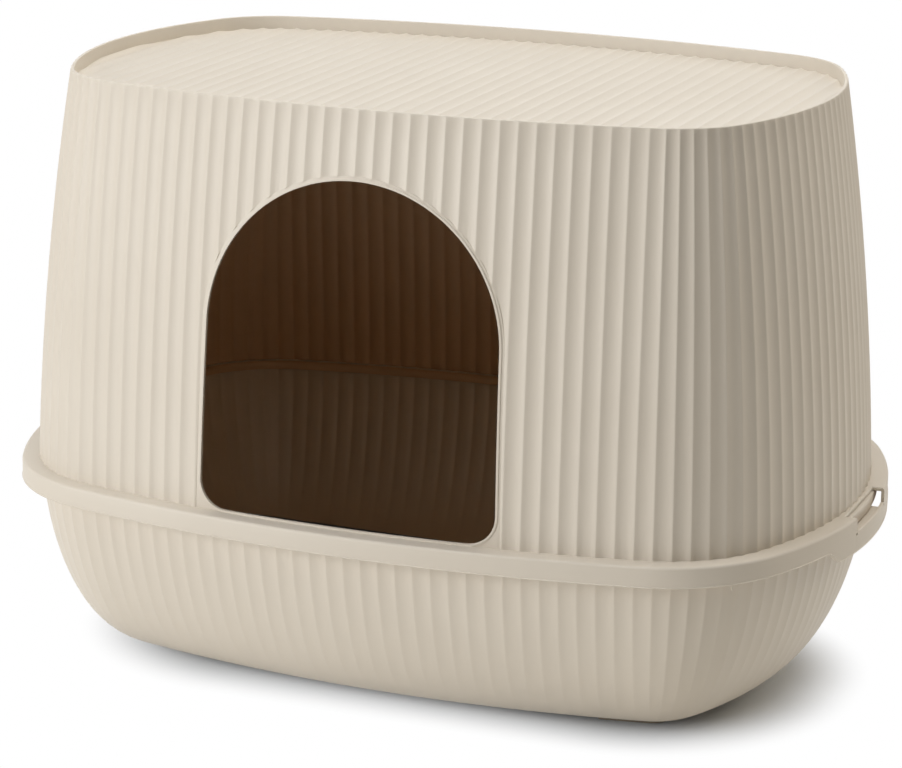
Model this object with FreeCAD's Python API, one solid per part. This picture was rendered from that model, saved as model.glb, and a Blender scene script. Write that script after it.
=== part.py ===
import FreeCAD, Part
import math
import os

# Hooded litter tray: a fluted hood that lifts off a bowl-shaped pan on four pads.
# Millimetres. X runs along the tray, the entrance is in the front wall at -Y, Z is up,
# and the origin is on the floor under the middle.

# Outline of the hood's flange in plan: two side arcs, two end arcs and four corner arcs.
LENGTH = 560.0
WIDTH = 386.0
SIDE_RADIUS = 851.0
END_RADIUS = 273.0
CORNER_RADIUS = 98.0

# Flutes: hollow grooves between sharp ridges, all round the walls and along the top panel.
FLUTES = 136
FLUTE_DEPTH = 1.0
WALL = 2.2

# Heights above the floor.
PAD_HEIGHT = 3.8
BAND_BOTTOM = 118.0
FLANGE_TOP = 131.0
HOOD_TOP = 382.5

# Hood wall: how far its ridges stand in from the flange's edge at the foot, how far more
# they lean in by the top, and the share of that lean that comes as a barrel curve.
WALL_INSET = 10.9
WALL_LEAN = 25.7
WALL_BARREL = 0.6
WALL_SECTIONS = 5

# Top panel, sunk below a thin rim.
PANEL_DROP = 8.0
PANEL_PITCH = 10.9

# Flange, the band that hangs from its edge, and the lip that drops inside the pan.
FLANGE_THICK = 2.2
EDGE_RADIUS = 1.8
EDGE_STEPS = 3
BAND_THICK = 2.0
LIP_INSET = 16.9
LIP_THICK = 1.8
LIP_BOTTOM = 124.5

# Entrance: an arch on sides that lean out a little towards the sill, with rounded lower corners.
ENTRANCE_WIDTH = 189.6
ENTRANCE_SPREAD = 2.0
ENTRANCE_TOP = 340.5
ENTRANCE_SILL = 131.4
ENTRANCE_CORNER = 18.0

# Latch at each end: an apron below the band, and in its middle a tab under an open window.
APRON_BOTTOM = 109.0
APRON_HALF = 54.0
APRON_RUN = 16.0
TAB_HALF = 32.0
TAB_GAP = 0.3
TAB_TOP = 122.0
WINDOW_INSET = 9.6
HOOK_HALF = 26.0
HOOK_TOP = 120.6
HOOK_THICK = 1.8

# Pan: a rolled rim on a bowl whose wall sweeps under to a flat floor. The bowl's curve runs
# from 0 under the rim, and the floor cuts it off just short of 1.
PAN_INSET = 13.1
PAN_RIM_TOP = 128.5
PAN_RIM_THICK = 2.0
PAN_RAIL_INSET = 6.5
PAN_RAIL_BOTTOM = 121.0
RAIL_CLEARANCE = 0.4
BOWL_SWEEP = 123.1
BOWL_LEAN = 1.48
BOWL_ROUND = 4.29
BOWL_END = 0.983
BOWL_STEPS = (0.0, 0.15, 0.3, 0.45, 0.6, 0.72, 0.82, 0.9, 0.95, BOWL_END)
FLUTE_FADE = (0.0, 0.95)

# Non-slip pads under the pan's corners.
PAD_INSET = 85.0
PAD_LENGTH = 59.0
PAD_WIDTH = 60.0

# Reach of cutting shapes past the surfaces that they cut, and a small step along a curve.
PAST = 20.0
NEAR = 0.001

Vec = FreeCAD.Vector


def outline_arcs():
    """The flange outline's arcs, anticlockwise from the right end: centre, radius, two angles."""
    end = Vec(LENGTH / 2 - END_RADIUS, 0, 0)
    side = Vec(0, WIDTH / 2 - SIDE_RADIUS, 0)
    gap = end - side
    to_side = SIDE_RADIUS - CORNER_RADIUS
    to_end = END_RADIUS - CORNER_RADIUS
    along = (to_side**2 - to_end**2 + gap.Length**2) / (2 * gap.Length)
    across = math.sqrt(to_side**2 - along**2)
    axis = gap * (1 / gap.Length)
    corner = side + axis * along + Vec(axis.y, -axis.x, 0) * across
    low = math.atan2(corner.y - end.y, corner.x - end.x)
    high = math.atan2(corner.y - side.y, corner.x - side.x)
    half = [
        (end, END_RADIUS, -low, low),
        (corner, CORNER_RADIUS, low, high),
        (side, SIDE_RADIUS, high, math.pi - high),
        (Vec(-corner.x, corner.y, 0), CORNER_RADIUS, math.pi - high, math.pi - low),
    ]
    return half + [(-centre, radius, a + math.pi, b + math.pi) for centre, radius, a, b in half]


def outline_places(count):
    """Places evenly spaced along the hood's foot, from the middle of the right end."""
    arcs = outline_arcs()
    lengths = [(radius - WALL_INSET) * (b - a) for _, radius, a, b in arcs]
    places = []
    for i in range(count):
        run = (lengths[0] / 2 + i * sum(lengths) / count) % sum(lengths)
        arc = 0
        while run > lengths[arc]:
            run -= lengths[arc]
            arc += 1
        centre, radius, a, _ = arcs[arc]
        places.append((centre, radius, a + run / (radius - WALL_INSET)))
    return places


PLACES = outline_places(2 * FLUTES)


def at_place(place, inset, z):
    """Point at a place, in from the flange's edge by inset."""
    centre, radius, angle = place
    reach = radius - inset
    return Vec(centre.x + reach * math.cos(angle), centre.y + reach * math.sin(angle), z)


def oval(inset, z):
    """Plain closed outline, in from the flange's edge by inset."""
    edges = []
    for centre, radius, a, b in outline_arcs():
        points = [at_place((centre, radius, angle), inset, z) for angle in (a, (a + b) / 2, b)]
        edges.append(Part.Arc(*points).toShape())
    return Part.Wire(edges)


def fluted(inset, z, depth=FLUTE_DEPTH):
    """Closed outline of ridges at inset, with a hollow arc of the given depth between them."""
    edges = []
    for i in range(0, len(PLACES), 2):
        ridge = at_place(PLACES[i], inset, z)
        hollow = at_place(PLACES[i + 1], inset + depth, z)
        next_ridge = at_place(PLACES[(i + 2) % len(PLACES)], inset, z)
        edges.append(Part.Arc(ridge, hollow, next_ridge).toShape())
    return Part.Wire(edges)


def skin(wires, smooth=False):
    """Faces of a wall through closed outlines."""
    return Part.makeLoft(wires, False, not smooth).Faces


def flat(*wires):
    """Flat face inside the first outline, less the others."""
    return Part.makeFace(list(wires), "Part::FaceMakerBullseye")


def solid_of(faces):
    """Closed solid from the faces that bound it."""
    shell = Part.makeShell(faces)
    shell.sewShape()
    solid = Part.makeSolid(shell)
    if solid.Volume < 0:
        solid.reverse()
    return solid


def ring_solid(outer, inner, low, high):
    """Upright ring between two insets of the outline."""
    face = flat(oval(outer, low), oval(inner, low))
    return face.extrude(Vec(0, 0, high - low))


def block(x0, x1, y0, y1, z0, z1):
    """Box between two places on each axis."""
    return Part.makeBox(x1 - x0, y1 - y0, z1 - z0, Vec(x0, y0, z0))


def wall_ring(share, inward):
    """Fluted outline of the hood's wall at a share of its height, moved in by inward."""
    lean = (1 - WALL_BARREL) * share + WALL_BARREL * share**2
    z = FLANGE_TOP + share * (HOOD_TOP - FLANGE_TOP)
    return fluted(WALL_INSET + WALL_LEAN * lean + inward, z)


def edge_rounding():
    """Outlines round the flange's outer top edge, from its top face to the band."""
    outlines = []
    for step in range(EDGE_STEPS + 1):
        turn = math.pi / 2 * step / EDGE_STEPS
        inset = EDGE_RADIUS * (1 - math.sin(turn))
        outlines.append(oval(inset, FLANGE_TOP - EDGE_RADIUS * (1 - math.cos(turn))))
    return outlines


def hood_shell():
    """Hood with its flange, band and lip, closed by a thick top and with no openings yet."""
    under = FLANGE_TOP - FLANGE_THICK
    lip_inner = LIP_INSET + LIP_THICK
    ceiling = (HOOD_TOP - PANEL_DROP - FLUTE_DEPTH - WALL - FLANGE_TOP) / (HOOD_TOP - FLANGE_TOP)
    shares = [i / (WALL_SECTIONS - 1) for i in range(WALL_SECTIONS)]
    outer = [wall_ring(share, 0) for share in shares]
    inner = [wall_ring(share * ceiling, WALL) for share in shares]
    edge = edge_rounding()
    faces = skin(outer, smooth=True) + skin(inner, smooth=True)
    faces += [flat(outer[-1]), flat(inner[-1])]
    faces += [flat(edge[0], outer[0]), *skin(edge)]
    faces += skin([edge[-1], oval(0, APRON_BOTTOM)])
    faces.append(flat(oval(0, APRON_BOTTOM), oval(BAND_THICK, APRON_BOTTOM)))
    faces += skin([oval(BAND_THICK, APRON_BOTTOM), oval(BAND_THICK, under)])
    faces.append(flat(oval(BAND_THICK, under), oval(LIP_INSET, under)))
    faces += skin([oval(LIP_INSET, under), oval(LIP_INSET, LIP_BOTTOM)])
    faces.append(flat(oval(LIP_INSET, LIP_BOTTOM), oval(lip_inner, LIP_BOTTOM)))
    faces += skin([oval(lip_inner, LIP_BOTTOM), oval(lip_inner, FLANGE_TOP)])
    faces.append(flat(inner[0], oval(lip_inner, FLANGE_TOP)))
    return solid_of(faces)


def panel_recess():
    """Space above the top panel: an oval pocket with flutes along its floor."""
    rim_inset = WALL_INSET + WALL_LEAN + WALL
    panel_top = HOOD_TOP - PANEL_DROP
    count = math.ceil(LENGTH / 2 / PANEL_PITCH)
    edges = []
    for i in range(-count, count):
        left = Vec(i * PANEL_PITCH, -WIDTH / 2, panel_top)
        right = left + Vec(PANEL_PITCH, 0, 0)
        hollow = (left + right) * 0.5 - Vec(0, 0, FLUTE_DEPTH)
        edges.append(Part.Arc(left, hollow, right).toShape())
    start = edges[0].Vertexes[0].Point
    stop = edges[-1].Vertexes[-1].Point
    lift = Vec(0, 0, PANEL_DROP + PAST)
    edges.append(Part.makePolygon([stop, stop + lift, start + lift, start]))
    scalloped = Part.Face(Part.Wire([edge for part in edges for edge in part.Edges]))
    pocket = flat(oval(rim_inset, panel_top - PAST)).extrude(Vec(0, 0, PANEL_DROP + 2 * PAST))
    return scalloped.extrude(Vec(0, WIDTH, 0)).common(pocket)


def entrance_opening():
    """Arch through the front wall."""
    half = ENTRANCE_WIDTH / 2
    wide = half + ENTRANCE_SPREAD
    spring = ENTRANCE_TOP - half
    sill = ENTRANCE_SILL
    corner = ENTRANCE_CORNER
    bend = corner * (1 - math.sqrt(0.5))
    above = wide - ENTRANCE_SPREAD * corner / (spring - sill)
    front = -WIDTH / 2 - PAST

    def spot(x, z):
        return Vec(x, front, z)

    edges = [
        Part.LineSegment(spot(corner - wide, sill), spot(wide - corner, sill)),
        Part.Arc(spot(half, spring), spot(0, ENTRANCE_TOP), spot(-half, spring)),
    ]
    for side in (1, -1):
        foot = spot(side * (wide - corner), sill)
        turn = spot(side * (wide - bend), sill + bend)
        shoulder = spot(side * above, sill + corner)
        edges += [Part.Arc(foot, turn, shoulder), Part.LineSegment(shoulder, spot(side * half, spring))]
    edges = Part.sortEdges([edge.toShape() for edge in edges])[0]
    face = Part.Face(Part.Wire(edges))
    return face.extrude(Vec(0, WIDTH / 2 + PAST, 0))


def band_trim():
    """What is cut from under the band on the front side, curving down to the aprons."""
    start = -APRON_HALF - APRON_RUN
    drop = BAND_BOTTOM - APRON_BOTTOM
    low = APRON_BOTTOM - PAST
    left = -LENGTH / 2 - PAST

    def spot(y, z):
        return Vec(left, y, z)

    # Two equal arcs, level at both ends, make the curve from the band down to the apron.
    radius = (APRON_RUN**2 + drop**2) / (4 * drop)
    quarter = APRON_RUN / 4
    sag = radius - math.sqrt(radius**2 - quarter**2)
    middle = spot(start + APRON_RUN / 2, BAND_BOTTOM - drop / 2)
    foot = spot(-APRON_HALF, APRON_BOTTOM)
    upper = Part.Arc(spot(start, BAND_BOTTOM), spot(start + quarter, BAND_BOTTOM - sag), middle)
    lower = Part.Arc(middle, spot(-APRON_HALF - quarter, APRON_BOTTOM + sag), foot)
    rest = Part.makePolygon([
        foot,
        spot(-APRON_HALF, low),
        spot(-WIDTH / 2 - PAST, low),
        spot(-WIDTH / 2 - PAST, BAND_BOTTOM),
        spot(start, BAND_BOTTOM),
    ])
    face = Part.Face(Part.Wire([upper.toShape(), lower.toShape(), *rest.Edges]))
    return face.extrude(Vec(LENGTH + 2 * PAST, 0, 0))


def hood():
    """Finished hood: panel, entrance, band trimmed to its aprons, and the latch windows."""
    reach = LENGTH / 2 + PAST
    window = block(LENGTH / 2 - WINDOW_INSET, reach, -TAB_HALF - TAB_GAP, TAB_HALF + TAB_GAP,
                   APRON_BOTTOM - PAST, FLANGE_TOP + PAST)
    trim = band_trim()
    cuts = [panel_recess(), entrance_opening(), trim, trim.mirror(Vec(), Vec(0, 1, 0)),
            window, window.mirror(Vec(), Vec(1, 0, 0))]
    shape = hood_shell()
    for tool in cuts:
        shape = shape.cut(tool)
    return shape


def latch_tab(side):
    """Springy tab in the middle of an apron, with the ledge that hooks under the pan's rail."""
    hook_inset = PAN_RAIL_INSET - RAIL_CLEARANCE
    reach = LENGTH / 2 + PAST
    plate = ring_solid(0, BAND_THICK, APRON_BOTTOM, TAB_TOP)
    plate = plate.common(block(0, reach, -TAB_HALF, TAB_HALF, 0, FLANGE_TOP))
    ledge = ring_solid(BAND_THICK / 2, hook_inset, HOOK_TOP - HOOK_THICK, HOOK_TOP)
    ledge = ledge.common(block(0, reach, -HOOK_HALF, HOOK_HALF, 0, FLANGE_TOP))
    tab = plate.fuse(ledge).removeSplitter()
    if side == "left":
        tab = tab.mirror(Vec(), Vec(1, 0, 0))
    return tab


def bowl_profile(step, inward=0.0):
    """Inset and height at a step down the bowl's wall, moved in by inward."""
    depth = BAND_BOTTOM - PAD_HEIGHT

    def surface(share):
        sweep = 1 - (1 - share**BOWL_LEAN) ** (1 / BOWL_ROUND)
        return PAN_INSET + BOWL_SWEEP * sweep, PAD_HEIGHT + depth * (1 - share / BOWL_END)

    inset, z = surface(step)
    if inward:
        ahead = surface(step + NEAR)
        run, fall = ahead[0] - inset, z - ahead[1]
        length = math.hypot(run, fall)
        inset += inward * fall / length
        z += inward * run / length
    return inset, z


def bowl_skin(inward, top):
    """Outlines of one face of the bowl, from the rim down, with the flutes fading out."""
    start, stop = FLUTE_FADE
    outlines = [fluted(PAN_INSET + inward, top)]
    for step in BOWL_STEPS:
        fade = min(max((stop - step) / (stop - start), 0), 1)
        outlines.append(fluted(*bowl_profile(step, inward), FLUTE_DEPTH * fade))
    return outlines


def pan():
    """Pan: fluted bowl with a flat floor and a rim rolled outwards over a rail."""
    under = PAN_RIM_TOP - PAN_RIM_THICK
    rail_inner = PAN_RAIL_INSET + PAN_RIM_THICK
    rail_edge = PAN_RAIL_INSET + PAN_RIM_THICK / 2
    rail_top = PAN_RIM_TOP - PAN_RIM_THICK / 2
    outside = bowl_skin(0, under)
    inside = bowl_skin(WALL, PAN_RIM_TOP)
    faces = skin(outside, smooth=True) + skin(inside, smooth=True)
    faces += [flat(outside[-1]), flat(inside[-1])]
    faces.append(flat(oval(rail_inner, under), outside[0]))
    faces += skin([oval(rail_inner, under), oval(rail_inner, PAN_RAIL_BOTTOM)])
    faces.append(flat(oval(PAN_RAIL_INSET, PAN_RAIL_BOTTOM), oval(rail_inner, PAN_RAIL_BOTTOM)))
    faces += skin([oval(PAN_RAIL_INSET, PAN_RAIL_BOTTOM), oval(PAN_RAIL_INSET, rail_top)])
    faces += skin([oval(PAN_RAIL_INSET, rail_top), oval(rail_edge, PAN_RIM_TOP)])
    faces.append(flat(oval(rail_edge, PAN_RIM_TOP), inside[0]))
    return solid_of(faces)


def pad(along, across):
    """Thin pad under one corner of the pan; along and across are 1 or -1."""
    outline = flat(oval(PAD_INSET, 0)).extrude(Vec(0, 0, PAD_HEIGHT))
    right = LENGTH / 2 - PAD_INSET
    back = WIDTH / 2 - PAD_INSET
    corner = block(right - PAD_LENGTH, right, back - PAD_WIDTH, back, 0, PAD_HEIGHT)
    shape = outline.common(corner)
    if along < 0:
        shape = shape.mirror(Vec(), Vec(1, 0, 0))
    if across < 0:
        shape = shape.mirror(Vec(), Vec(0, 1, 0))
    return shape


parts = {
    "pan": pan(),
    "hood": hood(),
    "latch_left": latch_tab("left"),
    "latch_right": latch_tab("right"),
    "pad_front_left": pad(-1, -1),
    "pad_front_right": pad(1, -1),
    "pad_back_left": pad(-1, 1),
    "pad_back_right": pad(1, 1),
}

os.makedirs("parts", exist_ok=True)
for name, shape in parts.items():
    box = shape.BoundBox
    print(f"{name:16s} valid {shape.isValid()} solids {len(shape.Solids)} faces {len(shape.Faces)} "
          f"volume {shape.Volume / 1000:.1f} cm3 z {box.ZMin:.2f} to {box.ZMax:.2f}")
    shape.exportStep(f"parts/{name}.step")
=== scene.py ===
import math
from collections import namedtuple

import bmesh
import bpy
from bpy.props import FloatProperty, FloatVectorProperty, IntProperty, PointerProperty
from bpy.types import Operator, Panel, PropertyGroup
from mathutils import Matrix, Vector


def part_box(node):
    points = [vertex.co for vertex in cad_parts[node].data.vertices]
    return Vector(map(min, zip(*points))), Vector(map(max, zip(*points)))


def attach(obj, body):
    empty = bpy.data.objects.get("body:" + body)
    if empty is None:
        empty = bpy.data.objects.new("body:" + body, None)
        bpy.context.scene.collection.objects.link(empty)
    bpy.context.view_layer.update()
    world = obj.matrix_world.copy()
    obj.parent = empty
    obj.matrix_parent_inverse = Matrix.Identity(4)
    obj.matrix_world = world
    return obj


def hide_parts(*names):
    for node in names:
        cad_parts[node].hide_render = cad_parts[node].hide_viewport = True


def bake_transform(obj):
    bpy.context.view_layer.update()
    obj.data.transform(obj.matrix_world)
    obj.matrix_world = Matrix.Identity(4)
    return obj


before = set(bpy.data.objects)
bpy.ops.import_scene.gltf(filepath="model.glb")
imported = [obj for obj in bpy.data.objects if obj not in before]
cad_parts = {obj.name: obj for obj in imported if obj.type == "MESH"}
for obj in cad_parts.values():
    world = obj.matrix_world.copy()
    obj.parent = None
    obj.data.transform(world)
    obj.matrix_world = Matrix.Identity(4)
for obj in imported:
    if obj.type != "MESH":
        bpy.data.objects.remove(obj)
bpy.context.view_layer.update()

bl_info = {
    "name": "Hooded Litter Tray",
    "version": (1, 0, 0),
    "blender": (4, 5, 0),
    "location": "View3D > Sidebar > Litter Tray",
    "description": "Models a fluted hooded litter tray piece by piece, with finishes and a studio stage",
    "category": "Add Mesh",
}

MM = 0.001
HOOD_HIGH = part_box("hood")[1]
PAN_LOW, PAN_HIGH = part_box("pan")
TAB_LOW, TAB_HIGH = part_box("latch_right")
PAD_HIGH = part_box("pad_back_right")[1]

# Points across one flute, as shares of its width, closer together where the ridge turns.
FLUTE_SHARES = (0.0, 0.03, 0.07, 0.14, 0.28, 0.5, 0.72, 0.86, 0.93, 0.97)
# Points across the same width where the outline is plain.
PLAIN_SHARES = (0.0, 0.25, 0.5, 0.75)
# How far the ridges are rounded; 0 would leave a sharp line.
RIDGE_ROUND = 0.2
WALL_RINGS = 14
BOWL_RINGS = 20
# Power that crowds the bowl's rings towards the floor, where its curve turns under.
BOWL_CROWDING = 1.6
# Share of the bowl's curve that its slope is measured over.
SLOPE_STEP = 0.001
EDGE_RINGS = 3
ARCH_STEPS = 96
CORNER_STEPS = 10
HOLE_STEPS = 24
# Front and back faces of a tooth, as shares of the band's thickness.
TOOTH_FACES = (0.1, 0.9)
SMOOTH_ANGLE = math.radians(35)
SHARP_ANGLE = math.radians(50)
MERGE = 0.001 * MM
PAST = 20 * MM
# Cosine between a face and the way out of the tray where the painted shade on the inner faces starts, and
# where it is full.
PAINTED_SHADE_START, PAINTED_SHADE_FULL = -0.5, -0.75
# Colour sockets of a Mix node.
MIX_FIRST, MIX_SECOND, MIX_RESULT = 6, 7, 2
FLOOR_SIZE = 14
FLOOR_MIDDLE = (0, 2, 0)
ROOM_COLOUR = (1, 0.82, 0.6, 1)

Ring = namedtuple("Ring", "inset z depth hang", defaults=(0.0, 0.0))

Lamp = namedtuple("Lamp", "name place spread colour")
LAMPS = (
    Lamp("key", (-1.51, -1.8, 0.7), 1.2, (1, 1, 1)),
    Lamp("overhead", (0, -0.07, 2.2), 1.6, (1, 1, 1)),
    Lamp("back", (1.59, 1.34, 1.4), 1.2, (1, 0.9, 0.75)),
)
LAMP_AIM = Vector((0, 0, 0.2))


def size(name, description, default):
    """Length setting with its default in metres."""
    return FloatProperty(name=name, description=description, default=default, unit="LENGTH", precision=4)


def number(name, description, default):
    """Plain number setting."""
    return FloatProperty(name=name, description=description, default=default, precision=3)


def vector(name, description, default):
    """Place or step setting, in metres."""
    return FloatVectorProperty(name=name, description=description, default=default, subtype="TRANSLATION")


def srgb(code):
    """Linear colour from an sRGB hex value."""
    parts = [int(code[i:i + 2], 16) / 255 for i in (1, 3, 5)]
    return [p / 12.92 if p <= 0.04045 else ((p + 0.055) / 1.055) ** 2.4 for p in parts]


def tint(name, description, code):
    """Colour setting with its default as an sRGB hex value."""
    return FloatVectorProperty(name=name, description=description, default=srgb(code), subtype="COLOR",
                               min=0, max=1)


class TRAY_PG_outline(PropertyGroup):
    """Plan of the flange's edge, which every other outline is moved in from."""

    length: size("Length", "Flange from end to end", 560 * MM)
    width: size("Width", "Flange from front to back", 386 * MM)
    side_radius: size("Side radius", "Radius of the two long sides", 851 * MM)
    end_radius: size("End radius", "Radius of the two ends", 273 * MM)
    corner_radius: size("Corner radius", "Radius of the four corners", 98 * MM)


class TRAY_PG_hood(PropertyGroup):
    """Sizes of the hood."""

    flutes: IntProperty(name="Flutes", description="Flutes round the wall", default=136)
    flute_depth: size("Flute depth", "Depth of a flute below its ridges", 1.0 * MM)
    wall: size("Wall", "Thickness of the wall", 2.2 * MM)
    top: size("Top", "Height of the rim above the floor", HOOD_HIGH.z)
    flange_top: size("Flange height", "Height of the flange's top face", 131 * MM)
    flange_thick: size("Flange thickness", "Thickness of the flange", 2.2 * MM)
    edge_radius: size("Edge radius", "Rounding of the flange's edge", 1.8 * MM)
    wall_inset: size("Wall inset", "Foot of the wall in from the flange's edge", 10.9 * MM)
    wall_lean: size("Wall lean", "How far the wall leans in by its top", 25.7 * MM)
    barrel: number("Barrel", "Share of the lean that comes as a curve", 0.6)
    rim_round: size("Rim rounding", "Radius on the rim's top edges", 0.5 * MM)
    rim_fade: size("Rim fade", "Height below the rim where the flutes start to fade", 2.5 * MM)
    rim_flutes: number("Rim flutes", "Share of the flutes' depth that is left on the rim", 0.35)
    panel_drop: size("Panel drop", "Top panel's ridges below the rim", 8 * MM)
    panel_pitch: size("Panel pitch", "Spacing of the flutes on the top panel", 10.9 * MM)
    band_bottom: size("Band height", "Lower edge of the band above the floor", 118 * MM)
    band_thick: size("Band thickness", "Thickness of the band", 2 * MM)
    lip_inset: size("Lip inset", "Outer face of the lip inside the pan", 16.9 * MM)
    lip_thick: size("Lip thickness", "Thickness of the lip", 1.8 * MM)
    lip_bottom: size("Lip height", "Lower edge of the lip above the floor", 124.5 * MM)
    lip_round: size("Lip rounding", "Radius from the flange's top down to the lip", 3 * MM)
    band_round: size("Band rounding", "Radius on the band's lower edges", 0.5 * MM)
    band_bead: size("Band bead", "How far the bead on the band's lower edge stands out", 0.4 * MM)
    tooth_place: FloatVectorProperty(name="Tooth", description="Middle of a tooth under the band", size=2,
                                     subtype="TRANSLATION", default=(234 * MM, 144.2 * MM))
    tooth_width: size("Tooth width", "Width of the tooth at the band", 4.4 * MM)
    tooth_tip: size("Tooth tip", "Height of the tooth's tip above the floor", 113.4 * MM)


class TRAY_PG_entrance(PropertyGroup):
    """Sizes of the arched entrance."""

    width: size("Width", "Clear width where the arch springs", 189.6 * MM)
    spread: size("Spread", "How far each side leans out by the sill", 2 * MM)
    top: size("Top", "Crown of the arch above the floor", 340.5 * MM)
    sill: size("Sill", "Sill above the floor", 132 * MM)
    corner: size("Corner", "Radius of the lower corners", 18 * MM)
    border: size("Border", "Width of the flat border with its bead", 2.9 * MM)
    border_thick: size("Border thickness", "Thickness of the border", 1.6 * MM)
    border_sunk: size("Border depth", "Border's face below the ridges", 0.5 * MM)
    border_round: size("Border rounding", "Radius on the border's edges", 0.5 * MM)
    bead: size("Bead", "Width of the rounded bead on the edge", 1.4 * MM)


class TRAY_PG_latch(PropertyGroup):
    """Sizes of the latch at each end."""

    apron_half: size("Apron", "Half width of the apron where it is deepest", 54 * MM)
    apron_run: size("Apron run", "Length of the curve from the apron up to the band", 16 * MM)
    apron_drop: size("Apron drop", "Depth of the apron below the band", 9 * MM)
    tab_half: size("Tab", "Half width of the tab and of the window over it", 32.3 * MM)
    tab_top: size("Tab top", "Top of the tab above the floor", TAB_HIGH.z)
    window_inset: size("Window inset", "Window's inner edge in from the end", 9.6 * MM)
    hook_half: size("Hook", "Half width of the ledge behind the tab", 26 * MM)
    hook_top: size("Hook top", "Top of the ledge above the floor", 120.6 * MM)
    hook_thick: size("Hook thickness", "Thickness of the ledge", 1.8 * MM)
    hook_inset: size("Hook inset", "Inner edge of the ledge in from the end", 8 * MM)
    edge_round: size("Edge rounding", "Radius on the tab's edges", 0.4 * MM)
    window_corner: size("Window corner", "Radius of the window's corners", 3 * MM)
    window_chamfer: size("Window chamfer", "Chamfer on the window's top edge", 0.6 * MM)
    relief: size("Relief", "Radius of the hole at the foot of each of the window's sides", 1.1 * MM)
    relief_drop: size("Relief drop", "Middle of that hole below the tab's top", 1.4 * MM)


class TRAY_PG_pan(PropertyGroup):
    """Sizes of the pan and of its pads."""

    rim_top: size("Rim", "Height of the rim's top above the floor", PAN_HIGH.z)
    rim_thick: size("Rim thickness", "Thickness of the rim and its rail", 2 * MM)
    rail_inset: size("Rail inset", "Rail's outer face in from the flange's edge", 6.5 * MM)
    rail_bottom: size("Rail height", "Lower edge of the rail above the floor", 121 * MM)
    inset: size("Wall inset", "Top of the bowl in from the flange's edge", 13.1 * MM)
    sweep: size("Sweep", "How far the bowl's curve would sweep in", 123.1 * MM)
    lean: number("Lean", "Power that sets how soon the bowl leans in", 1.48)
    roundness: number("Roundness", "Power that sets how fully the bowl rounds under", 4.29)
    floor_share: number("Floor share", "Share of the bowl's curve where the floor cuts it", 0.983)
    flute_depth: size("Flute depth", "Depth of a flute at the top of the bowl", 0.75 * MM)
    fade_stop: number("Fade stop", "Share of the curve where the flutes are gone", 0.95)
    pad_inset: size("Pad inset", "Pads in from the flange's edge", 85 * MM)
    pad_round: size("Pad rounding", "Radius on the pads' edges", 0.6 * MM)


class TRAY_PG_finish(PropertyGroup):
    """Colours of the finishes, with the painted shade of the inner faces."""

    plastic: tint("Plastic", "Moulded polypropylene of the hood and pan", "#DED6C9")
    plastic_deep: tint("Plastic, deep", "Where the pigment lies a little thicker", "#D9D0C2")
    # The two inside colours are painted shade: darker, warmer tans that stand in for the dim light reaching
    # the inner faces through the wall and off each other.
    hood_inside: tint("Hood, inside", "Inner faces, lit through the wall and by each other", "#D4B48F")
    pan_inside: tint("Pan, inside", "Inner faces, lit through the wall and by each other", "#DDCFBB")
    pad: tint("Pad", "Soft rubber of the pads", "#8F8374")
    pad_dust: tint("Pad dust", "Floor dust on the pads", "#A79C8D")
    stage: tint("Floor", "Warm white paper under the tray, for the light that it throws back", "#FCFAF5")
    stage_shade: tint("Floor, in shade", "The same paper as it is seen in the tray's shade", "#E9F1FC")


class TRAY_PG_stage(PropertyGroup):
    """Camera, lamps and the tray's shade on the floor."""

    camera: vector("Camera", "Place of the camera", (0.72168, -1.80037, 0.72459))
    aim: vector("Aim", "Point that the camera looks at", (0.0031, -0.0153, 0.1795))
    roll: FloatProperty(name="Roll", description="Turn of the camera about its line of sight",
                        default=math.radians(0.61), unit="ROTATION")
    lens: number("Lens", "Focal length in millimetres", 124.41)
    key: number("Key", "Watts of the low lamp at the front left", 31)
    overhead: number("Overhead", "Watts of the wide lamp above", 31)
    back: number("Back", "Watts of the lamp behind the right end", 14.5)
    surround: number("Surround", "Brightness of the room", 0.05)
    shade_place: vector("Shade", "Middle of the tray's shade on the floor", (12 * MM, 0, 0))
    shade_half: vector("Shade core", "Half sizes of the shade's straight core", (123 * MM, 10 * MM, 0))
    shade_near: size("Shade start", "Where the shade starts to fade, out from its core", 83 * MM)
    shade_far: size("Shade end", "Where the shade has faded to the white of the paper", 143 * MM)


class TRAY_PG_tray(PropertyGroup):
    """All settings of the tray."""

    outline: PointerProperty(type=TRAY_PG_outline)
    hood: PointerProperty(type=TRAY_PG_hood)
    entrance: PointerProperty(type=TRAY_PG_entrance)
    latch: PointerProperty(type=TRAY_PG_latch)
    pan: PointerProperty(type=TRAY_PG_pan)
    finish: PointerProperty(type=TRAY_PG_finish)
    stage: PointerProperty(type=TRAY_PG_stage)


def outline_arcs(outline):
    """The flange's arcs, anticlockwise from the right end: centre, radius, first and last angle."""
    end = Vector((outline.length / 2 - outline.end_radius, 0))
    side = Vector((0, outline.width / 2 - outline.side_radius))
    gap = end - side
    to_side = outline.side_radius - outline.corner_radius
    to_end = outline.end_radius - outline.corner_radius
    along = (to_side**2 - to_end**2 + gap.length_squared) / (2 * gap.length)
    across = math.sqrt(to_side**2 - along**2)
    axis = gap.normalized()
    corner = side + axis * along + Vector((axis.y, -axis.x)) * across
    low = math.atan2(corner.y, corner.x - end.x)
    high = math.atan2(corner.y - side.y, corner.x)
    half = [
        (end, outline.end_radius, -low, low),
        (corner, outline.corner_radius, low, high),
        (side, outline.side_radius, high, math.pi - high),
        (Vector((-corner.x, corner.y)), outline.corner_radius, math.pi - high, math.pi - low),
    ]
    return half + [(-centre, radius, a + math.pi, b + math.pi) for centre, radius, a, b in half]


def hollow(share):
    """Depth of a flute at a share of its width: 0 on the rounded ridge, 1 in the middle."""
    arc = 4 * share * (1 - share)
    deepest = math.hypot(1, RIDGE_ROUND) - RIDGE_ROUND
    return (math.hypot(arc, RIDGE_ROUND) - RIDGE_ROUND) / deepest


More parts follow.
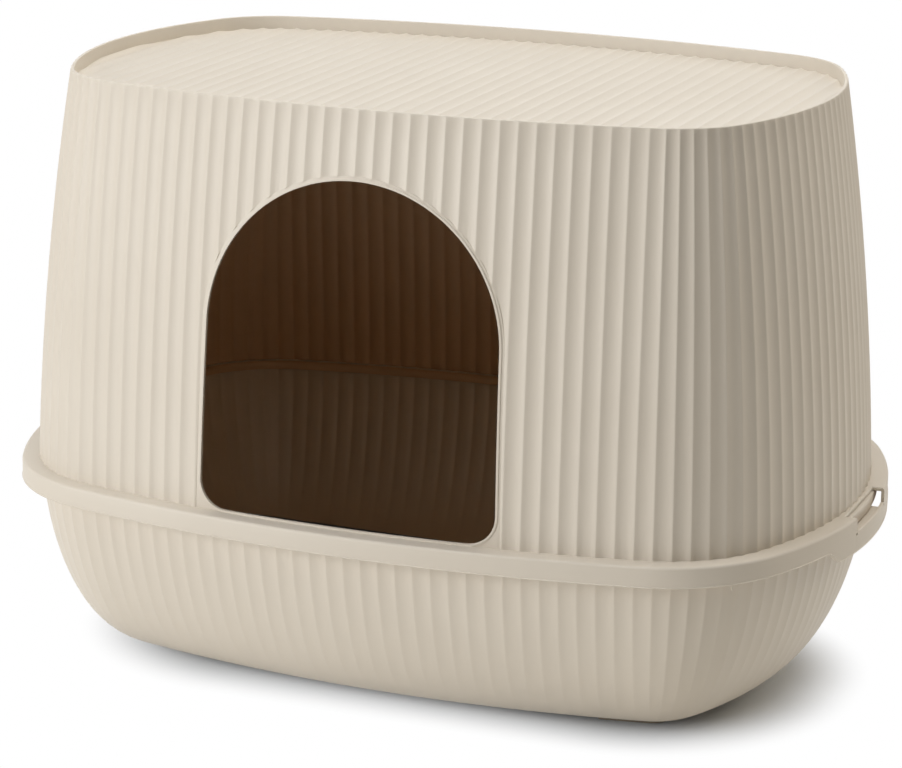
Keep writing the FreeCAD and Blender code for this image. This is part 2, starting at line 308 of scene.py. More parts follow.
def outline_places(tray, shares):
    """Places round the outline, from the right end's middle: centre, radius, direction and hollow."""
    arcs = outline_arcs(tray.outline)
    lengths = [(radius - tray.hood.wall_inset) * (b - a) for _, radius, a, b in arcs]
    places = []
    for flute in range(tray.hood.flutes):
        for share in shares:
            run = (lengths[0] / 2 + (flute + share) / tray.hood.flutes * sum(lengths)) % sum(lengths)
            arc = 0
            while run > lengths[arc]:
                run -= lengths[arc]
                arc += 1
            centre, radius, a, _ = arcs[arc]
            angle = a + run / (radius - tray.hood.wall_inset)
            places.append((centre, radius, Vector((math.cos(angle), math.sin(angle))), hollow(share)))
    return places


def apron_fall(latch, y):
    """How far the band hangs lower at a distance from the middle of an end."""
    share = (latch.apron_half + latch.apron_run - abs(y)) / latch.apron_run
    share = min(max(share, 0), 1)
    return latch.apron_drop * (1 - math.cos(math.pi * share)) / 2


def spot(tray, place, ring):
    """Point of a ring at a place."""
    centre, radius, direction, deep = place
    point = centre + direction * (radius - ring.inset - ring.depth * deep)
    fall = ring.hang * apron_fall(tray.latch, point.y) if ring.hang else 0
    return Vector((point.x, point.y, ring.z - fall))


def choose(piece):
    """Select only this piece."""
    bpy.ops.object.select_all(action="DESELECT")
    piece.select_set(True)
    bpy.context.view_layer.objects.active = piece


def extrude_rings(name, tray, shares, rings, fill):
    """Body from a circle laid on the first ring and extruded through the others.

    A filled circle carries its cap to the last ring; an open one is joined back to its start."""
    places = outline_places(tray, shares)
    bpy.ops.object.select_all(action="DESELECT")
    bpy.ops.mesh.primitive_circle_add(vertices=len(places), radius=tray.outline.width / 2,
                                      fill_type="NGON" if fill else "NOTHING")
    body = bpy.context.object
    body.name = name
    bpy.ops.object.mode_set(mode="EDIT")
    mesh = bmesh.from_edit_mesh(body.data)
    layer = mesh.verts.layers.int.new("place")
    for vert in mesh.verts:
        vert[layer] = vert.index
        vert.co = spot(tray, places[vert.index], rings[0])
    bpy.ops.mesh.select_all(action="SELECT")
    for ring in rings[1:] if fill else rings[1:] + rings[:1]:
        bpy.ops.mesh.extrude_region_move()
        mesh = bmesh.from_edit_mesh(body.data)
        layer = mesh.verts.layers.int["place"]
        for vert in mesh.verts:
            if vert.select:
                vert.co = spot(tray, places[vert[layer]], ring)
    bmesh.update_edit_mesh(body.data)
    close_mesh()
    return body


def close_mesh():
    """Merge doubled points of the mesh in edit mode, turn its faces outwards and leave edit mode."""
    bpy.ops.mesh.select_all(action="SELECT")
    bpy.ops.mesh.remove_doubles(threshold=MERGE)
    bpy.ops.mesh.normals_make_consistent(inside=False)
    bpy.ops.object.mode_set(mode="OBJECT")


def block(name, low, high):
    """Box between two corners, used to cut with."""
    bpy.ops.object.select_all(action="DESELECT")
    bpy.ops.mesh.primitive_cube_add(size=1, location=[(a + b) / 2 for a, b in zip(low, high)])
    box = bpy.context.object
    box.name = name
    box.scale = [b - a for a, b in zip(low, high)]
    bpy.ops.object.transform_apply(location=True, rotation=True, scale=True)
    return box


def combine(piece, tool, operation):
    """Apply a Boolean of a tool to a piece; the tool is used up."""
    choose(piece)
    modifier = piece.modifiers.new(operation, "BOOLEAN")
    modifier.operation = operation
    modifier.solver = "MANIFOLD"
    modifier.object = tool
    bpy.ops.object.modifier_apply(modifier=modifier.name)
    bpy.data.objects.remove(tool)
    if not piece.data.polygons:
        raise RuntimeError(f"{piece.name} came out empty")
    return piece


def copy_of(piece, name):
    """Copy of a piece with its own mesh."""
    twin = piece.copy()
    twin.data = piece.data.copy()
    twin.name = name
    bpy.context.scene.collection.objects.link(twin)
    return twin


def round_edges(piece, radius):
    """Round off the sharp edges of a piece."""
    choose(piece)
    modifier = piece.modifiers.new("round", "BEVEL")
    modifier.width = radius
    modifier.segments = EDGE_RINGS
    modifier.limit_method = "ANGLE"
    modifier.angle_limit = SHARP_ANGLE
    bpy.ops.object.modifier_apply(modifier=modifier.name)


def dress(piece, material):
    """Shade a finished piece, and give it its material and slot."""
    choose(piece)
    bpy.ops.object.shade_smooth_by_angle(angle=SMOOTH_ANGLE)
    piece.data.materials.clear()
    piece.data.materials.append(material)


def rounded(inset, z, across, up, from_level=False, depth=0.0, hang=0.0):
    """Rings round a corner, from its upright face to its level one, or the other way.

    Across and up are both the radius, with the signs of the way that the faces run from the corner."""
    turns = [math.pi / 2 * step / EDGE_RINGS for step in range(EDGE_RINGS + 1)]
    rings = [Ring(inset + across * (1 - math.cos(turn)), z + up * (1 - math.sin(turn)), depth, hang)
             for turn in turns]
    return rings[::-1] if from_level else rings


def square_rings(first, second, low, high):
    """Rings of a square section: up one face and down the other."""
    return [Ring(first, low), Ring(first, high), Ring(second, high), Ring(second, low)]


def wall_at(hood, share, inward=0.0):
    """Inset and height of the hood's wall at a share of its height."""
    lean = (1 - hood.barrel) * share + hood.barrel * share**2
    z = hood.flange_top + share * (hood.top - hood.flange_top)
    return hood.wall_inset + hood.wall_lean * lean + inward, z


def wall_rings(hood, depth, outward=0.0, inward=0.0):
    """Rings of the hood's wall: up the outside, over the rim and down the inside."""
    sunk = hood.flange_top - hood.flange_thick / 2
    tall = hood.top - hood.flange_top
    shares = [i / WALL_RINGS for i in range(WALL_RINGS + 1)]
    rim = hood.rim_round
    ceiling = 1 - (hood.panel_drop + hood.flute_depth + hood.wall) / tall
    top_inset, top = wall_at(hood, 1, outward)
    smooth_inset = top_inset + hood.wall + inward
    rings = [Ring(hood.wall_inset + outward, sunk, depth)]
    shallow = depth * hood.rim_flutes
    rings += [Ring(*wall_at(hood, share * (1 - hood.rim_fade / tall), outward), depth) for share in shares]
    rings.append(Ring(*wall_at(hood, 1 - rim / tall, outward), shallow))
    rings += rounded(top_inset, top, rim, -rim, depth=shallow)[1:]
    rings += rounded(smooth_inset, top, -rim, -rim, from_level=True)
    rings.append(Ring(smooth_inset, top - hood.panel_drop - hood.flute_depth - hood.wall / 2))
    rings += [Ring(*wall_at(hood, share * ceiling, outward + hood.wall + inward), depth)
              for share in reversed(shares)]
    rings.append(Ring(hood.wall_inset + outward + hood.wall + inward, sunk, depth))
    return rings


def band_rings(hood):
    """Rings of the band alone: over the rounded edge, down outside and up inside."""
    r = hood.edge_radius
    low = hood.band_round
    bead = hood.band_bead
    rings = [Ring(hood.band_thick, hood.flange_top)]
    rings += rounded(0, hood.flange_top, r, -r, from_level=True)
    rings.append(Ring(0, hood.band_bottom + low + bead, hang=1))
    rings += rounded(-bead, hood.band_bottom, low, low, hang=1)
    rings += rounded(hood.band_thick, hood.band_bottom, -low, low, from_level=True, hang=1)
    return rings


def flange_rings(hood):
    """Rings of the flange with its band and lip."""
    under = hood.flange_top - hood.flange_thick
    low = hood.lip_thick / 2
    lip_inner = hood.lip_inset + hood.lip_thick
    r = hood.lip_round
    rings = [Ring(lip_inner - r, hood.flange_top)]
    rings += band_rings(hood)[1:]
    rings += [Ring(hood.band_thick, under), Ring(hood.lip_inset, under)]
    rings += rounded(hood.lip_inset, hood.lip_bottom, low, low)
    rings += rounded(lip_inner, hood.lip_bottom, -low, low, from_level=True)[1:]
    rings += rounded(lip_inner, hood.flange_top, -r, -r)[:-1]
    return rings


def top_panel(tray):
    """Fluted panel under the rim: a grid with flutes along Y, thickened and trimmed to the oval."""
    hood = tray.hood
    top = hood.top - hood.panel_drop
    across = math.ceil(tray.outline.length / 2 / hood.panel_pitch)
    columns = 2 * across * len(FLUTE_SHARES)
    bpy.ops.object.select_all(action="DESELECT")
    bpy.ops.mesh.primitive_grid_add(x_subdivisions=columns, y_subdivisions=1, size=1, location=(0, 0, 0))
    panel = bpy.context.object
    panel.name = "panel"
    bpy.ops.object.mode_set(mode="EDIT")
    mesh = bmesh.from_edit_mesh(panel.data)
    for vert in mesh.verts:
        flute, step = divmod(round((vert.co.x + 0.5) * columns), len(FLUTE_SHARES))
        share = FLUTE_SHARES[step]
        vert.co.x = (flute - across + share) * hood.panel_pitch
        vert.co.y *= tray.outline.width
        vert.co.z = top - hood.flute_depth * hollow(share)
    bpy.ops.mesh.select_all(action="SELECT")
    bpy.ops.mesh.extrude_region_move()
    mesh = bmesh.from_edit_mesh(panel.data)
    for vert in mesh.verts:
        if vert.select:
            vert.co.z = top - hood.flute_depth - hood.wall
    bmesh.update_edit_mesh(panel.data)
    close_mesh()
    edge = wall_at(hood, 1)[0] + hood.wall / 2
    oval = [Ring(edge, top - PAST), Ring(edge, top + PAST)]
    return combine(panel, extrude_rings("trim", tray, PLAIN_SHARES, oval, fill=True), "INTERSECT")


def arch(name, tray, margin, foot, corner):
    """Solid of the entrance's outline, wider by a margin, from in front of the wall to the middle."""
    entrance = tray.entrance
    reach = entrance.width / 2 + margin
    spring = entrance.top - entrance.width / 2
    front = -tray.outline.width / 2 - PAST
    bpy.ops.object.select_all(action="DESELECT")
    bpy.ops.mesh.primitive_plane_add(size=1, location=(0, 0, 0), rotation=(math.pi / 2, 0, 0))
    solid = bpy.context.object
    solid.name = name
    bpy.ops.object.transform_apply(location=True, rotation=True, scale=True)
    bpy.ops.object.mode_set(mode="EDIT")
    mesh = bmesh.from_edit_mesh(solid.data)
    for vert in mesh.verts:
        upper = vert.co.z > 0
        wide = reach if upper else reach + entrance.spread
        vert.co = (math.copysign(wide, vert.co.x), front, spring if upper else foot)
    if corner:
        bpy.ops.mesh.select_all(action="DESELECT")
        for vert in mesh.verts:
            vert.select_set(vert.co.z < spring - MERGE)
        mesh.select_flush(True)
        bpy.ops.mesh.bevel(affect="VERTICES", offset=corner, segments=CORNER_STEPS)
    bpy.ops.mesh.select_all(action="DESELECT")
    mesh = bmesh.from_edit_mesh(solid.data)
    for vert in mesh.verts:
        vert.select_set(vert.co.z > spring - MERGE)
    mesh.select_flush(True)
    bpy.ops.mesh.subdivide(number_cuts=ARCH_STEPS - 1)
    mesh = bmesh.from_edit_mesh(solid.data)
    crown = sorted((v for v in mesh.verts if v.co.z > spring - MERGE), key=lambda v: v.co.x)
    for step, vert in enumerate(crown):
        turn = math.pi * (1 - step / (len(crown) - 1))
        vert.co.x = reach * math.cos(turn)
        vert.co.z = spring + reach * math.sin(turn)
    bpy.ops.mesh.select_all(action="SELECT")
    bpy.ops.mesh.extrude_region_move(TRANSFORM_OT_translate={"value": (0, -front, 0)})
    close_mesh()
    return solid


def node(tree, kind, links=(), **settings):
    """Add a node with its settings, and link (socket name or number, output) pairs to it."""
    made = tree.nodes.new(kind)
    for key, value in settings.items():
        if key in made.inputs:
            made.inputs[key].default_value = value
        else:
            setattr(made, key, value)
    for name, output in links:
        tree.links.new(output, made.inputs[name])
    return made


def fill_socket(tree, socket, value):
    """Link another node's output to a socket, or set the socket to a value."""
    if isinstance(value, bpy.types.NodeSocket):
        tree.links.new(value, socket)
    else:
        socket.default_value = value


def maths(tree, operation, first, second=None, kind="ShaderNodeMath", result="Value"):
    """Output of a maths node; its second term is an output or a value."""
    made = node(tree, kind, [(0, first)], operation=operation)
    if second is not None:
        fill_socket(tree, made.inputs[1], second)
    return made.outputs[result]


def vector_maths(tree, operation, first, second=None, result="Vector"):
    """Output of a maths node for vectors."""
    return maths(tree, operation, first, second, "ShaderNodeVectorMath", result)


def mix_colours(tree, factor, first, second):
    """Output of a mix of two colours, each an output or a value."""
    mix = node(tree, "ShaderNodeMix", [("Factor", factor)], data_type="RGBA")
    fill_socket(tree, mix.inputs[MIX_FIRST], first)
    fill_socket(tree, mix.inputs[MIX_SECOND], second)
    return mix.outputs[MIX_RESULT]


def noise(tree, place, spacing, detail):
    """Output of a noise with marks about this far apart."""
    made = node(tree, "ShaderNodeTexNoise", [("Vector", place)], Scale=1 / spacing, Detail=detail)
    return made.outputs["Fac"]


def new_material(name):
    """Empty node material and its tree."""
    material = bpy.data.materials.new(name)
    material.use_nodes = True
    material.node_tree.nodes.clear()
    return material, material.node_tree


def moulded_polypropylene(tray, part):
    """Polypropylene, injection moulded in a lightly etched mould.

    The eye gets a soft satin beige, a faint grain where light grazes it, pigment a shade uneven, and
    painted shade on the inner faces: a darker, warmer tan for the dim light that reaches them through the
    wall and off each other."""
    finish, outline, hood = tray.finish, tray.outline, tray.hood
    name = f"moulded polypropylene, {part}"
    if name in bpy.data.materials:
        return bpy.data.materials[name]
    material, tree = new_material(name)
    place = node(tree, "ShaderNodeTexCoord").outputs["Object"]
    # Etched grain of about 0.7 mm, drawn a little coarse so that it shows.
    grain = noise(tree, place, 0.7 * MM, 3.0)
    # Pigment drifts over some 70 mm as the plastic flows.
    drift = noise(tree, place, 70 * MM, 2.0)
    pigment = mix_colours(tree, drift, [*finish.plastic, 1], [*finish.plastic_deep, 1])
    # Inner faces look towards the tray's middle, below the top panel; these get the painted shade.
    half = Vector((outline.length / 2, outline.width / 2, hood.top / 2))
    from_middle = vector_maths(tree, "SUBTRACT", place, (0, 0, half.z))
    steep = vector_maths(tree, "DIVIDE", from_middle, half * half)
    outward = vector_maths(tree, "NORMALIZE", steep)
    normal = node(tree, "ShaderNodeNewGeometry").outputs["True Normal"]
    facing = vector_maths(tree, "DOT_PRODUCT", normal, outward, result="Value")
    inner = node(tree, "ShaderNodeMapRange", [("Value", facing)],
                 **{"From Min": PAINTED_SHADE_START, "From Max": PAINTED_SHADE_FULL}).outputs["Result"]
    height = node(tree, "ShaderNodeSeparateXYZ", [("Vector", place)]).outputs["Z"]
    panel = hood.top - hood.panel_drop - hood.flute_depth - hood.wall / 2
    inside = maths(tree, "MULTIPLY", inner, maths(tree, "LESS_THAN", height, panel))
    # Painted shade: the inner faces take the darker, warmer inside colour in place of the dim light inside
    # the tray.
    colour = mix_colours(tree, inside, pigment, [*getattr(finish, f"{part}_inside"), 1])
    rough = node(tree, "ShaderNodeMapRange", [("Value", grain)], **{"To Min": 0.42, "To Max": 0.56})
    bump = node(tree, "ShaderNodeBump", [("Height", grain)], Strength=0.06, Distance=0.1 * MM)
    shader = node(tree, "ShaderNodeBsdfPrincipled", [
        ("Base Color", colour),
        ("Roughness", rough.outputs["Result"]),
        ("Normal", bump.outputs["Normal"]),
    ], IOR=1.49)
    node(tree, "ShaderNodeOutputMaterial", [("Surface", shader.outputs["BSDF"])])
    return material


def moulded_rubber(finish):
    """Soft rubber, compression moulded: dull, with fine pores and a film of floor dust."""
    name = "moulded rubber"
    if name in bpy.data.materials:
        return bpy.data.materials[name]
    material, tree = new_material(name)
    place = node(tree, "ShaderNodeTexCoord").outputs["Object"]
    dust = noise(tree, place, 4 * MM, 6.0)
    pores = noise(tree, place, 0.5 * MM, 2.0)
    bump = node(tree, "ShaderNodeBump", [("Height", pores)], Strength=0.2, Distance=0.1 * MM)
    shader = node(tree, "ShaderNodeBsdfPrincipled", [
        ("Base Color", mix_colours(tree, dust, [*finish.pad, 1], [*finish.pad_dust, 1])),
        ("Normal", bump.outputs["Normal"]),
    ], IOR=1.52, Roughness=0.8)
    node(tree, "ShaderNodeOutputMaterial", [("Surface", shader.outputs["BSDF"])])
    return material


class TRAY_OT_pan(Operator):
    """Bowl with fading flutes, a flat floor and a rim rolled over a rail"""

    bl_idname = "tray.pan"
    bl_label = "Pan"

    @staticmethod
    def bowl(tray, share, inward):
        """Ring of the bowl's wall at a share of its curve, moved in along its normal."""
        pan, hood = tray.pan, tray.hood
        bottom = PAN_LOW.z

        def surface(at):
            sweep = 1 - (1 - at**pan.lean) ** (1 / pan.roundness)
            return Vector((pan.inset + pan.sweep * sweep,
                           hood.band_bottom - (hood.band_bottom - bottom) * at / pan.floor_share))

        point = surface(share)
        if inward:
            along = (surface(share + SLOPE_STEP) - point).normalized()
            point += Vector((-along.y, along.x)) * inward
        return Ring(point.x, point.y, pan.flute_depth * max(1 - share / pan.fade_stop, 0))

    def execute(self, context):
        tray = context.scene.tray
        pan, hood = tray.pan, tray.hood
        half = pan.rim_thick / 2
        under = pan.rim_top - pan.rim_thick
        rail_inner = pan.rail_inset + pan.rim_thick
        depth = pan.flute_depth
        shares = [pan.floor_share * (1 - (1 - i / BOWL_RINGS) ** BOWL_CROWDING)
                  for i in range(BOWL_RINGS + 1)]
        rings = [self.bowl(tray, share, 0) for share in reversed(shares)]
        rings += [Ring(pan.inset, under, depth), Ring(rail_inner, under)]
        rings += rounded(rail_inner, pan.rail_bottom, -half, half)
        rings += rounded(pan.rail_inset, pan.rail_bottom, half, half, from_level=True)[1:]
        rings += rounded(pan.rail_inset, pan.rim_top, half, -half)
        rings += rounded(pan.inset + hood.wall, pan.rim_top, -half, -half, from_level=True, depth=depth)
        rings += [self.bowl(tray, share, hood.wall) for share in shares]
        piece = extrude_rings("pan_bowl", tray, FLUTE_SHARES, rings, fill=True)
        dress(piece, moulded_polypropylene(tray, "pan"))
        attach(piece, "tray")
        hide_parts("pan")
        return {"FINISHED"}


class TRAY_OT_hood(Operator):
    """Fluted hood with its flange, band, lip and sunken top"""

    bl_idname = "tray.hood"
    bl_label = "Hood"

    @staticmethod
    def window(tray, side):
        """Cutter of a latch window: rounded corners, flaring out at the flange's top."""
        hood, latch = tray.hood, tray.latch
        edge = tray.outline.length / 2
        flare = latch.window_chamfer
        xs = sorted((side * (edge - latch.window_inset), side * (edge + PAST)))
        cutter = block("window", (xs[0], -latch.tab_half, TAB_LOW.z - PAST),
                       (xs[1], latch.tab_half, hood.flange_top - flare))
        bpy.ops.object.mode_set(mode="EDIT")
        mesh = bmesh.from_edit_mesh(cutter.data)
        bpy.ops.mesh.select_all(action="DESELECT")
        for line in mesh.edges:
            line.select_set((line.verts[0].co - line.verts[1].co).xy.length < MERGE)
        bpy.ops.mesh.bevel(affect="EDGES", offset=latch.window_corner, segments=CORNER_STEPS)
        bpy.ops.mesh.select_all(action="DESELECT")
        mesh = bmesh.from_edit_mesh(cutter.data)
        top = max(mesh.faces, key=lambda face: face.calc_center_median().z)
        top.select_set(True)
        wide = Vector((xs[1] - xs[0], 2 * latch.tab_half))
        bpy.ops.mesh.extrude_region_move(TRANSFORM_OT_translate={"value": (0, 0, 2 * flare)})
        bpy.ops.transform.resize(value=(1 + 4 * flare / wide.x, 1 + 4 * flare / wide.y, 1))
        bpy.ops.mesh.extrude_region_move(TRANSFORM_OT_translate={"value": (0, 0, PAST)})
        close_mesh()
        return cutter

    @staticmethod
    def tooth(tray, across, along):
        """Small pointed tooth under the band near a corner; across and along are 1 or -1."""
        hood = tray.hood
        middle = Vector((across * hood.tooth_place[0], along * hood.tooth_place[1]))
        centre, _, _, _ = min(outline_arcs(tray.outline), key=lambda arc: (arc[0] - middle).length)
        out = (middle - centre).normalized()
        side = Vector((-out.y, out.x)) * hood.tooth_width / 2
        bpy.ops.object.select_all(action="DESELECT")
        bpy.ops.mesh.primitive_cylinder_add(vertices=3, radius=hood.tooth_width, depth=hood.band_thick)
        body = bpy.context.object
        body.name = "tooth"
        bpy.ops.object.mode_set(mode="EDIT")
        mesh = bmesh.from_edit_mesh(body.data)
        high = hood.band_bottom + hood.band_thick
        corners = [(middle, hood.tooth_tip), (middle + side, high), (middle - side, high)]
        faces = [(point - out * hood.band_thick * share, z) for share in TOOTH_FACES for point, z in corners]
        verts = sorted(mesh.verts, key=lambda vert: (vert.co.z, math.atan2(vert.co.y, vert.co.x)))
        for vert, (point, z) in zip(verts, faces):
            vert.co = (point.x, point.y, z)
        bmesh.update_edit_mesh(body.data)
        close_mesh()
        return body

    @classmethod
    def cut_windows(cls, piece, tray):
        """Open the flange and band over each tab, and part the band where the aprons flex."""
        hood, latch, outline = tray.hood, tray.latch, tray.outline
        flex = latch.apron_half + latch.apron_run
        low = TAB_LOW.z - PAST
        high = hood.flange_top + PAST
        for side in (-1, 1):
            combine(piece, cls.window(tray, side), "DIFFERENCE")
            rings = square_rings(-PAST, hood.band_thick, low, high)
            parting = extrude_rings("parting", tray, PLAIN_SHARES, rings, fill=False)
            xs = sorted((0, side * (outline.length / 2 + 2 * PAST)))
            reach = block("reach", (xs[0], -flex, low - PAST), (xs[1], flex, high + PAST))
            combine(parting, reach, "INTERSECT")
            combine(piece, parting, "DIFFERENCE")

    def execute(self, context):
        tray = context.scene.tray
        hood = tray.hood
        rings = wall_rings(hood, hood.flute_depth)
        piece = extrude_rings("hood_shell", tray, FLUTE_SHARES, rings, fill=False)
        combine(piece, arch("opening", tray, tray.entrance.border, hood.flange_top, 0), "DIFFERENCE")
        combine(piece, extrude_rings("flange", tray, PLAIN_SHARES, flange_rings(hood), fill=False), "UNION")
        combine(piece, top_panel(tray), "UNION")
        self.cut_windows(piece, tray)
        # One tooth at the front right, and its twin at the back left.
        for across in (-1, 1):
            combine(piece, self.tooth(tray, across, -across), "UNION")
        dress(piece, moulded_polypropylene(tray, "hood"))
        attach(piece, "hood")
        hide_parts("hood")
        return {"FINISHED"}


class TRAY_OT_entrance(Operator):
    """Narrow border round the entrance, with a rounded bead on its edge"""

    bl_idname = "tray.entrance"
    bl_label = "Entrance border"

    @staticmethod
    def strip(name, tray, sunk, margin, corner):
        """Strip of the wall round the opening, sunk below the ridges and as wide as the margin."""
        hood, entrance = tray.hood, tray.entrance
        thick = entrance.border_sunk + entrance.border_thick - sunk
        rings = wall_rings(hood, 0, sunk, thick - hood.wall)
        piece = extrude_rings(name, tray, PLAIN_SHARES, rings, fill=False)
        combine(piece, arch("outside", tray, margin, entrance.sill - entrance.bead, corner), "INTERSECT")
        combine(piece, arch("inside", tray, 0, entrance.sill, entrance.corner), "DIFFERENCE")
        round_edges(piece, entrance.border_round)
        return piece

    def execute(self, context):
        tray = context.scene.tray
        entrance = tray.entrance
        piece = self.strip("entrance_border", tray, entrance.border_sunk, entrance.border, 0)
        bead = self.strip("bead", tray, 0, entrance.bead, entrance.corner + entrance.bead)
        combine(piece, bead, "UNION")
        dress(piece, moulded_polypropylene(tray, "hood"))
        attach(piece, "hood")
        return {"FINISHED"}


class TRAY_OT_latches(Operator):
    """Tab at each end, with its hook, and the aprons that flex beside it"""

    bl_idname = "tray.latches"
    bl_label = "Latches"

    @staticmethod
    def slice_of(piece, name, side, y_low, y_high, z_high):
        """Copy of the part of a ring at one end, between two distances across and up to a height."""
        twin = copy_of(piece, name)
        xs = sorted((0, side))
        return combine(twin, block("slice", (xs[0], y_low, 0), (xs[1], y_high, z_high)), "INTERSECT")

    @staticmethod
    def relief(tray, side, end):
        """Cutter of the round hole that ends the slit between a tab and an apron."""
        latch = tray.latch
        middle = (side * tray.outline.length / 2, end * latch.tab_half, latch.tab_top - latch.relief_drop)
        bpy.ops.object.select_all(action="DESELECT")
        bpy.ops.mesh.primitive_cylinder_add(vertices=HOLE_STEPS, radius=latch.relief, depth=PAST,
                                            location=middle, rotation=(0, math.pi / 2, 0))
        hole = bpy.context.object
        hole.name = "relief"
        bpy.ops.object.transform_apply(location=True, rotation=True, scale=True)
        return hole

    def execute(self, context):
        tray = context.scene.tray
        hood, latch = tray.hood, tray.latch
        material = moulded_polypropylene(tray, "hood")
        flex = latch.apron_half + latch.apron_run
        band = extrude_rings("band", tray, PLAIN_SHARES, band_rings(hood), fill=False)
        rings = square_rings(latch.hook_inset, hood.band_thick / 2, latch.hook_top - latch.hook_thick,
                             latch.hook_top)
        ledge = extrude_rings("ledge", tray, PLAIN_SHARES, rings, fill=False)
        for side, word in ((-1, "left"), (1, "right")):
            body = f"latch_{word}"
            tab = self.slice_of(band, f"latch_tab_{word}", side, -latch.tab_half, latch.tab_half,
                                latch.tab_top)
            hook = self.slice_of(ledge, "hook", side, -latch.hook_half, latch.hook_half, hood.top)
            combine(tab, hook, "UNION")
            round_edges(tab, latch.edge_round)
            for end in (-1, 1):
                combine(tab, self.relief(tray, side, end), "DIFFERENCE")
            dress(tab, material)
            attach(tab, body)
            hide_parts(body)
            for end, place in ((-1, "front"), (1, "back")):
                ys = sorted((end * latch.tab_half, end * flex))
                apron = self.slice_of(band, f"apron_{place}_{word}", side, *ys, hood.top)
                combine(apron, self.relief(tray, side, end), "DIFFERENCE")
                dress(apron, material)
                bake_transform(apron)
        for tool in (band, ledge):
            bpy.data.objects.remove(tool)
        return {"FINISHED"}


class TRAY_OT_pads(Operator):
    """Low rubber pads under the corners of the pan"""

    bl_idname = "tray.pads"
    bl_label = "Pads"

    def execute(self, context):
        tray = context.scene.tray
        inset = tray.pan.pad_inset
        rings = [Ring(inset, 0), Ring(inset, PAD_HIGH.z)]
        for end in ("front", "back"):
            for side in ("left", "right"):
                low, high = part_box(f"pad_{end}_{side}")
                pad = extrude_rings(f"rest_{end}_{side}", tray, PLAIN_SHARES, rings, fill=True)
                # The oval ends the pad outwards, so the cutting block runs past it there.
                low -= Vector((PAST if side == "left" else 0, PAST if end == "front" else 0, PAST))
                high += Vector((PAST if side == "right" else 0, PAST if end == "back" else 0, PAST))
                combine(pad, block("corner", low, high), "INTERSECT")
                round_edges(pad, tray.pan.pad_round)
                dress(pad, moulded_rubber(tray.finish))
                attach(pad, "tray")
                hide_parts(f"pad_{end}_{side}")
        return {"FINISHED"}


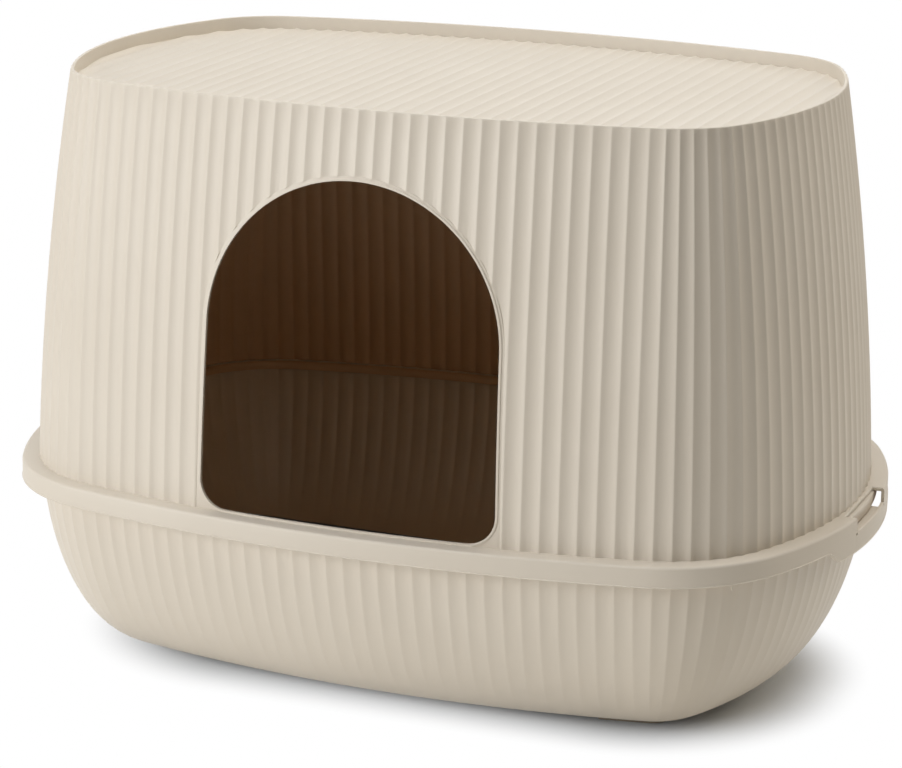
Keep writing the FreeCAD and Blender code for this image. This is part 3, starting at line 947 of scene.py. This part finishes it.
class TRAY_OT_stage(Operator):
    """Pale floor, lamps and camera"""

    bl_idname = "tray.stage"
    bl_label = "Stage"

    @staticmethod
    def light(lamp, watts):
        """Square area light of a lamp, turned to the tray's middle."""
        data = bpy.data.lights.new(lamp.name, "AREA")
        data.energy = watts
        data.size = lamp.spread
        data.color = lamp.colour
        light = bpy.data.objects.new(lamp.name, data)
        light.location = lamp.place
        light.rotation_euler = (LAMP_AIM - Vector(lamp.place)).to_track_quat("-Z", "Y").to_euler()
        bpy.context.scene.collection.objects.link(light)

    @staticmethod
    def seen(tree):
        """1 for the rays that show the background: from the camera, or by way of metal or glass."""
        path = node(tree, "ShaderNodeLightPath").outputs
        plain = maths(tree, "MAXIMUM", path["Is Camera Ray"], path["Is Glossy Ray"])
        return maths(tree, "MAXIMUM", plain, path["Is Transmission Ray"])

    @classmethod
    def floor(cls, tray):
        """Pale paper that keeps the tray's shade and turns plain white away from it."""
        stage = tray.stage
        bpy.ops.object.select_all(action="DESELECT")
        bpy.ops.mesh.primitive_plane_add(size=FLOOR_SIZE, location=FLOOR_MIDDLE)
        bpy.ops.object.transform_apply(location=True, rotation=True, scale=True)
        floor = bpy.context.object
        floor.name = "floor"
        material, tree = new_material("studio paper")
        place = node(tree, "ShaderNodeTexCoord").outputs["Object"]
        # Distance from the shade's core, a box with its sides along X and Y.
        moved = vector_maths(tree, "SUBTRACT", place, stage.shade_place)
        beyond = vector_maths(tree, "SUBTRACT", vector_maths(tree, "ABSOLUTE", moved), stage.shade_half)
        outside = vector_maths(tree, "MAXIMUM", beyond, (0, 0, 0))
        away = vector_maths(tree, "LENGTH", outside, result="Value")
        far = node(tree, "ShaderNodeMapRange", [("Value", away)], interpolation_type="SMOOTHSTEP",
                   **{"From Min": stage.shade_near, "From Max": stage.shade_far}).outputs["Result"]
        seen = cls.seen(tree)
        colour = mix_colours(tree, seen, [*tray.finish.stage, 1], [*tray.finish.stage_shade, 1])
        paper = node(tree, "ShaderNodeBsdfDiffuse", [("Color", colour)])
        white = node(tree, "ShaderNodeEmission")
        mix = node(tree, "ShaderNodeMixShader", [
            ("Fac", maths(tree, "MULTIPLY", far, seen)),
            (1, paper.outputs["BSDF"]),
            (2, white.outputs["Emission"]),
        ])
        node(tree, "ShaderNodeOutputMaterial", [("Surface", mix.outputs["Shader"])])
        floor.data.materials.append(material)

    @classmethod
    def surround(cls, strength):
        """Even room light, with plain white where the camera sees past the floor."""
        world = bpy.data.worlds.new("studio")
        world.use_nodes = True
        tree = world.node_tree
        tree.nodes.clear()
        room = node(tree, "ShaderNodeBackground", Color=ROOM_COLOUR, Strength=strength)
        white = node(tree, "ShaderNodeBackground", Color=(1, 1, 1, 1), Strength=1.0)
        mix = node(tree, "ShaderNodeMixShader", [
            ("Fac", cls.seen(tree)),
            (1, room.outputs["Background"]),
            (2, white.outputs["Background"]),
        ])
        node(tree, "ShaderNodeOutputWorld", [("Surface", mix.outputs["Shader"])])
        bpy.context.scene.world = world

    @staticmethod
    def camera(stage):
        """Camera above the front right, turned a little about its line of sight."""
        data = bpy.data.cameras.new("camera")
        data.lens = stage.lens
        data.sensor_width = 36
        camera = bpy.data.objects.new("camera", data)
        ahead = (Vector(stage.aim) - Vector(stage.camera)).normalized()
        right = ahead.cross(Vector((0, 0, 1))).normalized()
        up = right.cross(ahead)
        across = right * math.cos(stage.roll) + up * math.sin(stage.roll)
        upright = up * math.cos(stage.roll) - right * math.sin(stage.roll)
        turn = Matrix((across, upright, -ahead)).transposed().to_4x4()
        camera.matrix_world = Matrix.Translation(stage.camera) @ turn
        bpy.context.scene.collection.objects.link(camera)
        bpy.context.scene.camera = camera

    def execute(self, context):
        tray = context.scene.tray
        stage = tray.stage
        self.floor(tray)
        self.surround(stage.surround)
        for lamp in LAMPS:
            self.light(lamp, getattr(stage, lamp.name))
        self.camera(stage)
        context.scene.view_settings.view_transform = "Standard"
        return {"FINISHED"}


STEPS = (TRAY_OT_pan, TRAY_OT_hood, TRAY_OT_entrance, TRAY_OT_latches, TRAY_OT_pads, TRAY_OT_stage)


class TRAY_PT_sidebar(Panel):
    """Steps that make the tray"""

    bl_idname = "TRAY_PT_sidebar"
    bl_label = "Litter Tray"
    bl_space_type = "VIEW_3D"
    bl_region_type = "UI"
    bl_category = "Litter Tray"

    def draw(self, context):
        for step in STEPS:
            self.layout.operator(step.bl_idname)


GROUPS = (TRAY_PG_outline, TRAY_PG_hood, TRAY_PG_entrance, TRAY_PG_latch, TRAY_PG_pan, TRAY_PG_finish,
          TRAY_PG_stage, TRAY_PG_tray)
CLASSES = (*GROUPS, *STEPS, TRAY_PT_sidebar)


def register():
    for cls in CLASSES:
        bpy.utils.register_class(cls)
    bpy.types.Scene.tray = PointerProperty(type=TRAY_PG_tray)


def unregister():
    del bpy.types.Scene.tray
    for cls in reversed(CLASSES):
        bpy.utils.unregister_class(cls)


def main():
    """Build every piece and the stage."""
    register()
    for step in STEPS:
        group, name = step.bl_idname.split(".")
        getattr(getattr(bpy.ops, group), name)()


if __name__ == "__main__":
    main()
